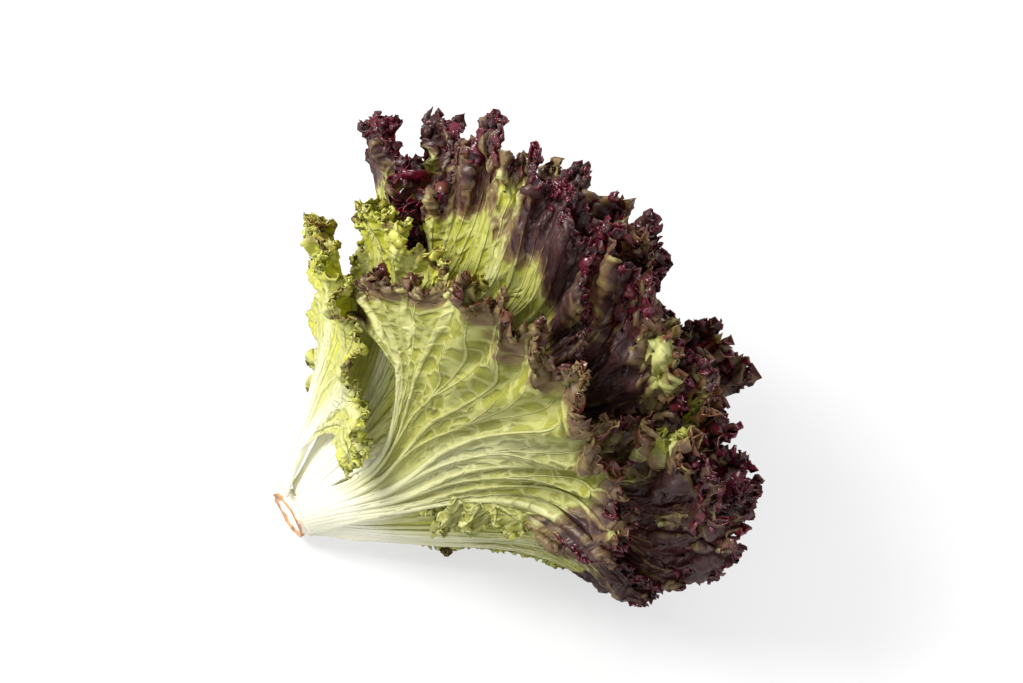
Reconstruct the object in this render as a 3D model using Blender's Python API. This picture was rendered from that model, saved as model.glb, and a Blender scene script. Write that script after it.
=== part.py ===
"""Red leaf lettuce, cut at the stem and lying on its side.

A short core carries a spiral of ruffled leaves. Each leaf is one waved blade, thick at its
midrib, and sits in its own layer of a nest, so that no two leaves touch. Metres, +Z up. The
head's axis runs from the cut end towards +X and rises a little from the table.
"""

import math
from collections import namedtuple

import bmesh
import bpy
import numpy as np

# Driving dimensions
STEM_RADIUS = 0.0118
STEM_TIP_RADIUS = 0.0016
STEM_LENGTH = 0.056
STEM_SIDES = 20
CUT_SLANT = math.radians(12)
STEM_TILT = math.radians(11)
HEAD_TILT = math.radians(25)
BEND_LENGTH = 0.09
GAP = 0.0006
BLADE = 0.0009
MIDRIB = 0.0030

# A flattened leaf is a fan: its margin is part of an ellipse whose centre is up the midrib
FAN_HALF_ANGLE = math.radians(116)
FAN_CENTRE = 0.58
VEIN_CURVE = 1.85
PETIOLE_HALF_WIDTHS = (0.0035, 0.0080)

# How the leaves of the nest lean away from the axis, and how far they wrap round it
FIRST_BASE = 0.004
LAST_BASE = 0.050
BASE_LEAN = math.radians(4)
OUTER_LEAN = math.radians(36)
OUTER_FLARE = math.radians(18)
FLARE_LENGTH = 0.13
MOST_WRAP = 2.1
SPINE_STEPS = 240
SPINE_REACH = 0.24

# How the lying head is pressed by its own weight
UPPER_SQUASH = 0.96
LOWER_SQUASH = 0.43
FAR_SQUASH = 1.05
NEAR_SQUASH = 0.85
CORE = 0.010
CORE_SOFTNESS = 0.004
TABLE_SOFTNESS = 0.006
TABLE_LEVEL = 0.014

# Slow unevenness of the grown head: shares of the radius, a twist and a slide
GROWN_LENGTH = 0.12
OVAL = 0.04
LOBED = 0.03
TWIST = 0.09
SLIDE = 0.005

# The side towards which the crown is drawn forward, and by what share of the radius
CROWN_SIDE = math.radians(140)
CROWN_TILT = 0.22

# Pleats that run through the whole nest, and the waves and scallops of each leaf's own margin
FOLD = 0.0055
FOLD_LENGTH = 0.115
WAVE_LENGTH = 0.027
WAVE = 0.0042
SCALLOP = 0.018
FRILL_START = 0.5
COVERED_LENGTH = 0.10

# Rows of the blade's net from its base to its margin, and those where the columns double
ROWS = 8
DOUBLING_ROWS = (3, 5, 7)

# Azimuth is in degrees about the head's axis, 0 at +Y and 90 on top. Layer is 1 on the outside
# and 0 in the heart. Width is half the blade's. Narrow is the share of it that one half lacks,
# and skew the share by which the other half's lobe is moved up the stalk. Bow bends the midrib
# sideways, sweep pulls both lobes up the stalk, and curl turns the margin outwards.
Leaf = namedtuple("Leaf", "name azimuth layer length width narrow skew bow sweep curl columns seed colour")

GREEN = (0.42, 0.55, 0.16)
OLIVE = (0.25, 0.22, 0.08)
WINE = (0.13, 0.02, 0.05)
IVORY = (0.86, 0.85, 0.68)

# The outer leaves, set by eye
OUTER_LEAVES = (
    Leaf("leaf_front_wrap", 146, 1.00, 0.175, 0.112, 0.74, 0.25, -0.05, 0.042, 0.002, 6, 11, OLIVE),
    Leaf("leaf_side_far", 60, 1.08, 0.131, 0.060, 0.0, 0.0, -0.10, 0.010, 0.002, 5, 12, GREEN),
    Leaf("leaf_under", 284, 1.00, 0.160, 0.058, 0.0, 0.0, 0.0, 0.005, 0.000, 5, 13, OLIVE),
    Leaf("leaf_side_pale", 101, 0.955, 0.148, 0.066, 0.0, 0.0, -0.15, 0.010, 0.001, 5, 14, GREEN),
    Leaf("leaf_front_low", 176, 0.94, 0.160, 0.064, 0.55, 0.0, 0.45, 0.010, 0.000, 5, 15, GREEN),
    Leaf("leaf_far_low", 336, 0.92, 0.168, 0.062, 0.0, 0.0, 0.0, 0.005, 0.000, 5, 16, OLIVE),
    Leaf("leaf_front", 175, 0.878, 0.198, 0.070, 0.2, 0.0, 0.0, 0.010, 0.002, 5, 17, OLIVE),
    Leaf("leaf_side_upper", 36, 0.895, 0.190, 0.070, 0.0, 0.0, 0.0, 0.005, 0.000, 5, 18, GREEN),
    Leaf("leaf_top", 106, 0.849, 0.200, 0.070, 0.35, 0.0, 0.0, 0.010, 0.002, 5, 19, GREEN),
    Leaf("leaf_low_middle", 244, 0.850, 0.190, 0.066, 0.0, 0.0, 0.0, 0.005, 0.000, 5, 20, WINE),
    Leaf("leaf_low_far", 308, 0.80, 0.186, 0.066, 0.0, 0.0, 0.0, 0.005, 0.000, 4, 21, WINE),
    Leaf("leaf_top_front", 130, 0.8075, 0.190, 0.074, 0.0, 0.0, 0.0, 0.010, 0.000, 5, 22, WINE),
    Leaf("leaf_top_far", 56, 0.785, 0.190, 0.068, 0.0, 0.0, 0.0, 0.005, 0.000, 5, 23, WINE),
    Leaf("leaf_front_middle", 162, 0.766, 0.190, 0.068, 0.0, 0.0, 0.0, 0.005, 0.000, 5, 24, WINE),
)

# The inner leaves follow by the golden angle, from the first value of each pair to the last
INNER_COUNT = 10
INNER_FIRST_AZIMUTH = 197
GOLDEN_ANGLE = 137.5
INNER_LAYERS = (0.72, 0.10)
INNER_LENGTHS = (0.206, 0.158)
INNER_WIDTHS = (0.070, 0.034)
INNER_COLUMNS = (5, 4)


def smooth(x):
    """0 to 1 as x goes from 0 to 1, with no corner at either end."""
    x = np.clip(x, 0.0, 1.0)
    return x * x * (3 - 2 * x)


def between(ends, share):
    """The value at a share of the way between two ends."""
    return ends[0] + (ends[1] - ends[0]) * share


def inner_leaves():
    """The leaves from the middle of the head to its heart, in a golden-angle spiral."""
    leaves = []
    for i in range(INNER_COUNT):
        share = i / (INNER_COUNT - 1)
        leaves.append(
            Leaf(
                name=f"leaf_inner_{i + 1:02d}",
                azimuth=(INNER_FIRST_AZIMUTH + GOLDEN_ANGLE * i) % 360,
                layer=between(INNER_LAYERS, share),
                length=between(INNER_LENGTHS, share),
                width=between(INNER_WIDTHS, share),
                narrow=0.0,
                skew=0.0,
                bow=0.0,
                sweep=0.005,
                curl=0.0,
                columns=INNER_COLUMNS[0] if share < 0.5 else INNER_COLUMNS[1],
                seed=30 + i,
                colour=WINE,
            )
        )
    return leaves


def core_radius(s):
    """Radius of the core at the distance s from the cut."""
    share = np.clip(s / STEM_LENGTH, 0.0, 1.0)
    return between((STEM_RADIUS, STEM_TIP_RADIUS), share**1.3)


def midrib_thickness(leaf):
    """Thickness of the leaf's midrib at its base."""
    return between((BLADE, MIDRIB), leaf.layer**4)


def spine(leaf, t):
    """(s, radius, lean) of the leaf's layer at the length t along it.

    All layers start on the core, the outer ones nearer the cut, and each leans further
    from the axis than the one inside it, so they never cross.
    """
    steps = np.linspace(0.0, SPINE_REACH, SPINE_STEPS)
    lean = (
        BASE_LEAN
        + OUTER_LEAN * leaf.layer**1.1
        + OUTER_FLARE * leaf.layer * smooth(steps / FLARE_LENGTH)
    )
    start = between((LAST_BASE, FIRST_BASE), leaf.layer)
    clear = GAP + 0.525 * midrib_thickness(leaf)
    step = steps[1] - steps[0]
    s = start + clear * math.sin(lean[0]) + np.cumsum(np.cos(lean) * step)
    radius = core_radius(start) + clear + np.cumsum(np.sin(lean) * step)
    return np.interp(t, steps, s), np.interp(t, steps, radius), np.interp(t, steps, lean)


def waves(leaf, u):
    """The waves along a leaf's margin, as sines a quarter turn apart."""
    margin = 4.4 * leaf.width
    count = round(margin / WAVE_LENGTH)
    phase = math.pi * count * u + 0.5 * np.sin(5 * math.pi * u + leaf.seed) + leaf.seed
    return np.sin(phase), np.cos(phase)


def flat_leaf(leaf, u, v):
    """(t, w): how far along and across the flattened leaf the net's point (u, v) is.

    Columns follow the veins. They leave the base together and fan out to the margin.
    """
    angle = u * FAN_HALF_ANGLE
    frill = smooth((v - FRILL_START) / (1 - FRILL_START))
    reach = v * (1 + SCALLOP * waves(leaf, u)[1] * frill**2)
    margin_t = leaf.length * (FAN_CENTRE + (1 - FAN_CENTRE) * np.cos(angle))
    margin_t = margin_t * (1 + leaf.skew * np.minimum(u, 0) ** 2)
    margin_w = leaf.width * np.sin(angle) * (1 - leaf.narrow * smooth(u))
    petiole = between(PETIOLE_HALF_WIDTHS, leaf.layer) * u
    t = margin_t * reach**0.95 + leaf.sweep * u * u * 4 * reach * (1 - reach)
    w = petiole * (1 - np.clip(reach, 0, 1)) ** 1.5 + margin_w * reach**VEIN_CURVE
    return t, w + leaf.bow * t * t / leaf.length


def ruffle(leaf, u, v, t):
    """How far the blade's margin swings out of its layer, where no leaf lies over it."""
    frill = smooth((v - FRILL_START) / (1 - FRILL_START)) ** 1.2
    covered = COVERED_LENGTH * (1 - smooth((leaf.layer - 0.96) / 0.04))
    free = smooth((t - covered) / 0.06)
    return WAVE * leaf.layer**2 * frill * free * (1 + waves(leaf, u)[0]) + leaf.curl * frill**2


def axis_point(s):
    """(x, z) of the head's axis: an arc from the stem's tilt to the head's, then straight."""
    curvature = (HEAD_TILT - STEM_TILT) / BEND_LENGTH
    arc = np.minimum(s, BEND_LENGTH)
    tilt = STEM_TILT + curvature * arc
    x = (np.sin(tilt) - math.sin(STEM_TILT)) / curvature + (s - arc) * math.cos(HEAD_TILT)
    z = (math.cos(STEM_TILT) - np.cos(tilt)) / curvature + (s - arc) * math.sin(HEAD_TILT)
    return x, z + TABLE_LEVEL, tilt


def folds(s, azimuth):
    """Pleats that all layers share, running along the head and swaying as they go, -1 to 1."""
    sway = np.sin(2 * math.pi * s / FOLD_LENGTH)
    return 0.75 * np.sin(13 * azimuth + 1.3 * sway) + 0.25 * np.sin(8 * azimuth + 1.1 - 2.0 * sway)


def squashed(radius, direction, more, less):
    """Offset from the axis. Outside the core it is narrowed, differently on its two sides."""
    narrowed = 0.5 * (more + less) + 0.5 * (more - less) * direction
    loose = 0.5 * (radius - CORE + np.sqrt((radius - CORE) ** 2 + CORE_SOFTNESS**2))
    return direction * (radius + loose * (narrowed - 1))


def place(s, radius, azimuth):
    """World position of the point at s along the head's axis, and radius and azimuth about it.

    Each step moves points along one direction by an amount that grows steadily with it, or
    that depends on the other two only, so layers that were apart stay apart.
    """
    grown = smooth(s / GROWN_LENGTH)
    uneven = OVAL * np.cos(2 * azimuth + 1.0) + LOBED * np.cos(5 * azimuth + 25 * s)
    radius = radius * (1 + grown * uneven)
    s = s + CROWN_TILT * grown * radius * np.cos(azimuth - CROWN_SIDE)
    azimuth = azimuth + TWIST * grown * np.sin(38 * s + 22 * radius)
    s = s + SLIDE * grown * np.sin(3 * azimuth + 50 * radius)
    loose = smooth((s - 0.04) / 0.12) * smooth(radius / 0.045)
    radius = radius + FOLD * loose * folds(s, azimuth)
    side = squashed(radius, np.cos(azimuth), FAR_SQUASH, NEAR_SQUASH)
    up = squashed(radius, np.sin(azimuth), UPPER_SQUASH, LOWER_SQUASH)
    axis_x, axis_z, tilt = axis_point(s)
    x = axis_x - up * np.sin(tilt)
    z = axis_z + up * np.cos(tilt)
    pressed = 0.5 * (z + np.sqrt(z * z + TABLE_SOFTNESS**2))
    return np.stack([x, side, z + (pressed - z) * smooth(s / 0.05)], axis=-1)


def blade_points(leaf, u, v):
    """World positions of the middle of the blade."""
    t, w = flat_leaf(leaf, u, v)
    s, radius, lean = spine(leaf, t)
    azimuth = math.radians(leaf.azimuth) + MOST_WRAP * np.tanh(w / (radius * MOST_WRAP))
    swing = ruffle(leaf, u, v, t)
    return place(s - np.sin(lean) * swing, radius + np.cos(lean) * swing, azimuth)


def material(name, colour, roughness):
    """A plain surface of one colour."""
    made = bpy.data.materials.new(name)
    made.use_nodes = True
    shader = made.node_tree.nodes["Principled BSDF"]
    shader.inputs["Base Color"].default_value = (*colour, 1)
    shader.inputs["Roughness"].default_value = roughness
    shader.inputs["Metallic"].default_value = 0
    made.diffuse_color = (*colour, 1)
    return made


def new_object(name, mesh, parent, colour, roughness):
    """Links a mesh into the scene under the head's empty, with its own material."""
    made = bpy.data.objects.new(name, mesh)
    bpy.context.scene.collection.objects.link(made)
    made.parent = parent
    mesh.materials.append(material(name, colour, roughness))
    return made


def blade_net(columns):
    """A flat net with u across it and v up it, its columns doubling towards the margin."""
    net = bmesh.new()
    bmesh.ops.create_grid(net, x_segments=columns, y_segments=ROWS, size=1.0)
    for row in DOUBLING_ROWS:
        lowest = 2 * row / ROWS - 1 - 1e-4
        across = [
            edge
            for edge in net.edges
            if abs(edge.verts[0].co.y - edge.verts[1].co.y) < 1e-4 and edge.verts[0].co.y > lowest
        ]
        bmesh.ops.subdivide_edges(net, edges=across, cuts=1)
    bmesh.ops.triangulate(net, faces=net.faces[:], quad_method="FIXED", ngon_method="BEAUTY")
    return net


def row_place(share):
    """Rows lie closer together towards the margin."""
    return share * (1.35 - 0.35 * share)


def make_leaf(leaf, head):
    """One leaf: a waved blade, thickened along its midrib."""
    net = blade_net(leaf.columns)
    net.verts.ensure_lookup_table()
    flat = np.array([vert.co[:2] for vert in net.verts])
    u, v = flat[:, 0], row_place((flat[:, 1] + 1) / 2)
    for vert, point in zip(net.verts, blade_points(leaf, u, v)):
        vert.co = point
    mesh = bpy.data.meshes.new(leaf.name)
    net.to_mesh(mesh)
    net.free()
    mesh.shade_smooth()
    made = new_object(leaf.name, mesh, head, leaf.colour, 0.45)
    midrib = made.vertex_groups.new(name="midrib")
    weights = np.exp(-((u / 0.35) ** 2)) * (1 - v) ** 1.6
    for index, weight in enumerate(weights):
        midrib.add([index], float(weight), "REPLACE")
    solidify = made.modifiers.new("blade", "SOLIDIFY")
    solidify.thickness = midrib_thickness(leaf)
    solidify.offset = 0
    solidify.use_even_offset = False
    solidify.vertex_group = "midrib"
    solidify.thickness_vertex_group = BLADE / midrib_thickness(leaf)
    return made


def make_stem(head):
    """The core: a turned taper inside the leaf bases, cut off on a slant."""
    profile = bmesh.new()
    stations = np.linspace(0.0, 1.0, 9) * STEM_LENGTH
    verts = [profile.verts.new((0, 0, 0))]
    verts += [profile.verts.new((s, core_radius(s), 0)) for s in stations]
    verts.append(profile.verts.new((STEM_LENGTH + STEM_TIP_RADIUS, 0, 0)))
    edges = [profile.edges.new(pair) for pair in zip(verts, verts[1:])]
    bmesh.ops.spin(
        profile,
        geom=verts + edges,
        axis=(1, 0, 0),
        cent=(0, 0, 0),
        angle=2 * math.pi,
        steps=STEM_SIDES,
    )
    bmesh.ops.remove_doubles(profile, verts=profile.verts[:], dist=1e-5)
    for vert in profile.verts:
        x, y, z = vert.co
        x -= math.tan(CUT_SLANT) * y * max(0.0, 1 - x / 0.02)
        vert.co = place(np.float64(x), np.float64(math.hypot(y, z)), np.float64(math.atan2(z, y)))
    bmesh.ops.recalc_face_normals(profile, faces=profile.faces[:])
    mesh = bpy.data.meshes.new("stem")
    profile.to_mesh(mesh)
    profile.free()
    mesh.shade_smooth()
    mesh.set_sharp_from_angle(angle=math.radians(40))
    return new_object("stem", mesh, head, IVORY, 0.5)


def centre_on_table(head, pieces):
    """Moves the head so that the origin is the middle of the underside of its box."""
    bpy.context.view_layer.update()
    graph = bpy.context.evaluated_depsgraph_get()
    corners = [v.co for piece in pieces for v in piece.evaluated_get(graph).data.vertices]
    points = np.array(corners)
    low, high = points.min(axis=0), points.max(axis=0)
    head.location = (-(low[0] + high[0]) / 2, -(low[1] + high[1]) / 2, -low[2])


def main():
    for old in list(bpy.data.objects):
        bpy.data.objects.remove(old)
    head = bpy.data.objects.new("head", None)
    bpy.context.scene.collection.objects.link(head)
    pieces = [make_stem(head)]
    for leaf in [*OUTER_LEAVES, *inner_leaves()]:
        pieces.append(make_leaf(leaf, head))
    centre_on_table(head, pieces)


main()
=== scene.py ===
"""Red leaf lettuce: the looks of a cut head that lies on a pale table.

Every CAD leaf is replaced by a finer one on the same nest of layers, with a frilled margin. The
stem gets its cut face. Metres, +Z up.
"""

import functools
import math
from collections import namedtuple

import bmesh
import bpy
import numpy as np
from bpy.props import FloatProperty, FloatVectorProperty, PointerProperty
from bpy.types import Operator, Panel, PropertyGroup
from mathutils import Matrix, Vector
from mathutils.bvhtree import BVHTree


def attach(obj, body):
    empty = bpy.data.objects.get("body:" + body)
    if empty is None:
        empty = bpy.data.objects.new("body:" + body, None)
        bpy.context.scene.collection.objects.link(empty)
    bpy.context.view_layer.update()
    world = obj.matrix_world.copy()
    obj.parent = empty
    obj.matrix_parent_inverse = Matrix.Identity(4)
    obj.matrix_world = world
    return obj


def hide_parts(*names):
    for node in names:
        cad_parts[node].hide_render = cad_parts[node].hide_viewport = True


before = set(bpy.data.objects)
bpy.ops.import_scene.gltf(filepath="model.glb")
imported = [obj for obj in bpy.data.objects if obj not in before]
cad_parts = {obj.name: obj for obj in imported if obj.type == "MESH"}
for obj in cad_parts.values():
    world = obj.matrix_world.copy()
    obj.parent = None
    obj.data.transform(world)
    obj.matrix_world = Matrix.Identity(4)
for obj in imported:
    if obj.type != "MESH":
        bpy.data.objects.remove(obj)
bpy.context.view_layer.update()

bl_info = {
    "name": "Red leaf lettuce",
    "version": (1, 0, 0),
    "blender": (4, 5, 0),
    "location": "View3D > Sidebar > Lettuce",
    "description": "Dresses the CAD frame of a cut lettuce head with frilled leaves",
    "category": "Add Mesh",
}

# Driving dimensions of the head, the same as in the CAD source
STEM_RADIUS = 0.0118
STEM_TIP_RADIUS = 0.0016
STEM_LENGTH = 0.056
CUT_SLANT = math.radians(12)
STEM_TILT = math.radians(11)
HEAD_TILT = math.radians(25)
BEND_LENGTH = 0.09
GAP = 0.0006
BLADE = 0.0009
MIDRIB = 0.0030
FAN_HALF_ANGLE = math.radians(116)
FAN_CENTRE = 0.58
VEIN_CURVE = 1.85
PETIOLE_HALF_WIDTHS = (0.0035, 0.0080)
FIRST_BASE = 0.004
LAST_BASE = 0.050
BASE_LEAN = math.radians(4)
OUTER_LEAN = math.radians(36)
OUTER_FLARE = math.radians(18)
FLARE_LENGTH = 0.13
MOST_WRAP = 2.1
SPINE_STEPS = 240
SPINE_REACH = 0.24
UPPER_SQUASH = 0.96
LOWER_SQUASH = 0.43
FAR_SQUASH = 1.05
NEAR_SQUASH = 0.85
CORE = 0.010
CORE_SOFTNESS = 0.004
TABLE_SOFTNESS = 0.006
TABLE_LEVEL = 0.014
GROWN_LENGTH = 0.12
OVAL = 0.04
LOBED = 0.03
TWIST = 0.09
SLIDE = 0.005
CROWN_SIDE = math.radians(140)
CROWN_TILT = 0.22
FOLD = 0.0055
FOLD_LENGTH = 0.115
WAVE_LENGTH = 0.027
WAVE = 0.0042
SCALLOP = 0.018
FRILL_START = 0.5
COVERED_LENGTH = 0.10

# How much fuller than the CAD solids the frilled leaves are on both sides of their tips, and how
# much wider the stalks of the outermost ones
SHOULDER = 0.011
WIDER_STALK = 0.35

Leaf = namedtuple(
    "Leaf",
    "name azimuth layer length width narrow skew bow sweep curl seed "
    "red_depth red green low_green frill columns rows",
)

# Each leaf's shape, as in the CAD source but for a few lengths and widths: its azimuth round the
# head (degrees) and layer in it (0 at the heart, about 1 outside), its length and half width (m),
# how much narrower its lower half is, how far its upper half is skewed and all of it bowed, how
# its veins sweep (m) and its margin curls out (m), and its seed
LEAF_SHAPES = {
    "leaf_front_wrap": (146, 1.0, 0.175, 0.112, 0.74, 0.25, -0.05, 0.042, 0.002, 11),
    "leaf_side_far": (60, 1.08, 0.131, 0.08, 0.0, 0.0, -0.1, 0.01, 0.002, 12),
    "leaf_under": (284, 1.0, 0.16, 0.058, 0.0, 0.0, 0.0, 0.005, 0.0, 13),
    "leaf_side_pale": (101, 0.955, 0.154, 0.08, 0.0, 0.0, -0.15, 0.01, 0.001, 14),
    "leaf_front_low": (176, 0.94, 0.16, 0.064, 0.55, 0.0, 0.45, 0.01, 0.0, 15),
    "leaf_far_low": (336, 0.92, 0.168, 0.062, 0.0, 0.0, 0.0, 0.005, 0.0, 16),
    "leaf_front": (175, 0.878, 0.198, 0.07, 0.2, 0.0, 0.0, 0.01, 0.002, 17),
    "leaf_side_upper": (36, 0.895, 0.185, 0.09, 0.0, 0.0, 0.0, 0.005, 0.0, 18),
    "leaf_top": (106, 0.849, 0.1935, 0.07, 0.35, 0.0, 0.0, 0.01, 0.002, 19),
    "leaf_low_middle": (244, 0.85, 0.19, 0.066, 0.0, 0.0, 0.0, 0.005, 0.0, 20),
    "leaf_low_far": (308, 0.8, 0.186, 0.066, 0.0, 0.0, 0.0, 0.005, 0.0, 21),
    "leaf_top_front": (130, 0.8075, 0.192, 0.074, 0.0, 0.0, 0.0, 0.01, 0.0, 22),
    "leaf_top_far": (56, 0.785, 0.184, 0.068, 0.0, 0.0, 0.0, 0.005, 0.0, 23),
    "leaf_front_middle": (162, 0.766, 0.19, 0.068, 0.0, 0.0, 0.0, 0.005, 0.0, 24),
}

# Each leaf's looks: how deep the red runs in from the margin (m), how red it gets, how deep its
# green is, how far from the stem its lower margin stays green (m), how strong its frills are, and
# the columns and rows of its mesh
LEAF_LOOKS = {
    "leaf_front_wrap": (0.02, 0.58, 0.95, 0.105, 0.85, 184, 66),
    "leaf_side_far": (0.006, 0.24, 0.03, 0.062, 0.9, 76, 30),
    "leaf_under": (0.02, 0.7, 0.6, 0.062, 1.0, 34, 14),
    "leaf_side_pale": (0.006, 0.24, 0.02, 0.062, 0.8, 84, 36),
    "leaf_front_low": (0.036, 0.96, 0.45, 0.118, 0.85, 70, 26),
    "leaf_far_low": (0.03, 0.8, 0.6, 0.062, 1.0, 34, 14),
    "leaf_front": (0.062, 0.96, 0.72, 0.062, 1.0, 88, 20),
    "leaf_side_upper": (0.034, 0.98, 0.35, 0.062, 1.3, 74, 28),
    "leaf_top": (0.018, 0.92, 0.48, 0.062, 0.85, 116, 46),
    "leaf_low_middle": (0.055, 1.0, 0.8, 0.062, 1.0, 32, 10),
    "leaf_low_far": (0.055, 1.0, 0.8, 0.062, 1.0, 32, 10),
    "leaf_top_front": (0.046, 0.95, 1.0, 0.062, 1.0, 88, 20),
    "leaf_top_far": (0.042, 1.0, 0.6, 0.062, 1.1, 58, 14),
    "leaf_front_middle": (0.05, 0.96, 0.7, 0.062, 1.0, 74, 16),
}

# The inner leaves' ranges from the middle of the head to its heart, and the columns of the meshes
# of those that show most, by number, and of the others
INNER_COUNT = 10
INNER_FIRST_AZIMUTH = 197
GOLDEN_ANGLE = 137.5
INNER_LAYERS = (0.72, 0.10)
INNER_LENGTHS = (0.196, 0.158)
INNER_WIDTHS = (0.070, 0.034)
INNER_COLUMNS = {1: 54, 3: 74, 6: 54, 8: 40}
INNER_HIDDEN_COLUMNS = 30

# Green spots on red margins: leaf, its u and v in the middle of the spot, and how far it reaches
GREEN_SPOTS = (
    ("leaf_top_front", 0.25, 0.94, 0.10, 0.07),
    ("leaf_inner_03", 0.40, 0.96, 0.08, 0.05),
    ("leaf_front_middle", -0.06, 0.93, 0.10, 0.06),
    ("leaf_front", -0.37, 0.98, 0.09, 0.05),
    ("leaf_top_far", -0.04, 0.88, 0.06, 0.05),
    ("leaf_top", -0.08, 0.93, 0.05, 0.04),
    ("leaf_side_upper", 0.45, 0.90, 0.14, 0.06),
)

# The fine regular sheet on which a leaf's shape is worked out before its mesh takes points from
# it, and the steps in its rows and columns at which the room round it is worked out
SHEET_ACROSS = 2401
SHEET_UP = 145
ROOM_ROW_STEP = 8
ROOM_COLUMN_STEP = 20

# How far (m) the room round a leaf is looked for, and the share of it that its frills may take
ROOM_REACH = 0.03
ROOM_SHARE = 0.65

# Distances from the margin (m) inside which the mesh's columns double, and its rows there
DOUBLING_DEPTHS = (0.022, 0.012, 0.006, 0.0024)
FINE_COLUMNS = 120
FRILL_ROWS = 26
FRILL_ROW_SQUEEZE = 1.35

# Leaves with red deeper than this (m) have frills this many times deeper
DEEP_RED = 0.040
DEEP_FRILLS = 2.0

# Distances from the margin (m) about where the middle, small and fine frills, the crinkles, the
# crumpling and the margin's lobes and teeth end, and the spacing of the lobes
MIDDLE_REACH = 0.015
SMALL_REACH = 0.009
FINE_REACH = 0.004
CRINKLE_REACH = 0.024
CRUMPLE_REACH = 0.075
TOOTHED_REACH = 0.005
LOBE_SPACING = 0.0052

# How far the large, middle, small and fine frills lean sideways, lean outwards and curl
FRILL_LEANS = ((0.30, 0.32, 0.15), (0.35, 0.10, 0.15), (0.35, 0.0, 0.15), (0.25, 0.0, 0.10))

# The veins: main ones on each half, the shares of the blade's length where they branch, their
# half widths at the base and the margin, and the rungs that join them
MAIN_VEINS = 5.5
FIRST_BRANCH = (0.28, 0.60)
SECOND_BRANCH = (0.58, 0.85)
VEIN_WIDTHS = (0.0022, 0.0009)
RUNG_SPACING = 0.085
RUNG_WIDTH = 0.0007
BLISTER_EDGE = 0.0022

# Distances from the stem (m) where the white stalk and its paler veins end, half widths of the
# white midrib of an inner and an outer leaf, and how far up all margins stay green
STALK_LENGTH = 0.027
PALE_LENGTH = 0.055
MIDRIB_WIDTHS = (0.0045, 0.0080)
GREEN_LENGTH = 0.062
REDDENING = 0.035

# The two sides of a leaf: how strongly its net and its veins show, its roughness where it is
# blotched least and most, and its gloss
Side = namedtuple("Side", "net vein roughness gloss")
OUTER_SIDE = Side(0.55, 0.85, (0.44, 0.32), 0.5)
INNER_SIDE = Side(0.28, 0.60, (0.16, 0.28), 0.9)

# How red a leaf is where its brown and its wine begin and are full, and how much of its look is
# light that comes through it
BROWNING = (0.08, 0.50)
WINE = (0.50, 0.92)
GLOW_SHARE = 0.38

# The net of the stem, and the dome and roughness of its cut (m)
STEM_SIDES = 96
STEM_RINGS = 40
CUT_RINGS = 10
CUT_DOME = 0.0012
CUT_ROUGHNESS = 0.0004

# The photo's framing
CAMERA_AZIMUTH = math.radians(-20)
CAMERA_ELEVATION = math.radians(40)
CAMERA_LENS = 85
CAMERA_SENSOR = 36
CAMERA_DISTANCE = 1.09
PHOTO_CENTRE = (511.5, 341.5)
PHOTO_CUT_CENTRE = (287, 517)
PIXEL = 0.00045

# The lamps: direction from the head, size (m) and colour
LAMP_DISTANCE = 1.5
LAMP_TARGET = (0, 0, 0.09)
LAMPS = {
    "key": ((-0.85, 0.30, 0.95), 0.8, (1.0, 0.985, 0.95)),
    "side": ((0.90, 0.45, 0.80), 0.6, (1.0, 1.0, 1.0)),
    "front": ((-0.75, -1.00, 0.55), 0.8, (1.0, 1.0, 1.0)),
}
SKY = (0.96, 0.98, 1.0, 1)

# The least space between the leaves and the table
TABLE_GAP = 0.0002


def smooth(x):
    """0 to 1 as x goes from 0 to 1, with no corner at either end."""
    x = np.clip(x, 0.0, 1.0)
    return x * x * (3 - 2 * x)


def between(ends, share):
    """The value at a share of the way between two ends."""
    return ends[0] + (ends[1] - ends[0]) * share


def bell(x):
    """1 at 0, falling to nothing on both sides."""
    return np.exp(-(x**2))


def patches(seed, x, y):
    """Smooth random values from -1 to 1, about one unit of x and y across."""
    table = np.random.default_rng(seed).uniform(-1, 1, (64, 64))
    column, row = np.floor(x).astype(int), np.floor(y).astype(int)
    across, up = smooth(x - column), smooth(y - row)
    near = table[column % 64, row % 64] * (1 - across) + table[(column + 1) % 64, row % 64] * across
    far = (
        table[column % 64, (row + 1) % 64] * (1 - across)
        + table[(column + 1) % 64, (row + 1) % 64] * across
    )
    return near * (1 - up) + far * up


def inner_leaves():
    """The leaves from the middle of the head to its heart, in a golden-angle spiral."""
    leaves = []
    for i in range(INNER_COUNT):
        share = i / (INNER_COUNT - 1)
        leaves.append(
            Leaf(
                name=f"leaf_inner_{i + 1:02d}",
                azimuth=(INNER_FIRST_AZIMUTH + GOLDEN_ANGLE * i) % 360,
                layer=between(INNER_LAYERS, share),
                length=between(INNER_LENGTHS, share),
                width=between(INNER_WIDTHS, share),
                narrow=0.0,
                skew=0.0,
                bow=0.0,
                sweep=0.005,
                curl=0.0,
                seed=30 + i,
                red_depth=0.055,
                red=1.0,
                green=0.6,
                low_green=GREEN_LENGTH,
                frill=1.0,
                columns=INNER_COLUMNS.get(i + 1, INNER_HIDDEN_COLUMNS),
                rows=10,
            )
        )
    return leaves


OUTER_LEAVES = tuple(Leaf(name, *LEAF_SHAPES[name], *LEAF_LOOKS[name]) for name in LEAF_SHAPES)
INNER_LEAVES = tuple(inner_leaves())
ALL_LEAVES = OUTER_LEAVES + INNER_LEAVES


def core_radius(s):
    """Radius of the core at the distance s from the cut."""
    share = np.clip(s / STEM_LENGTH, 0.0, 1.0)
    return between((STEM_RADIUS, STEM_TIP_RADIUS), share**1.3)


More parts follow.
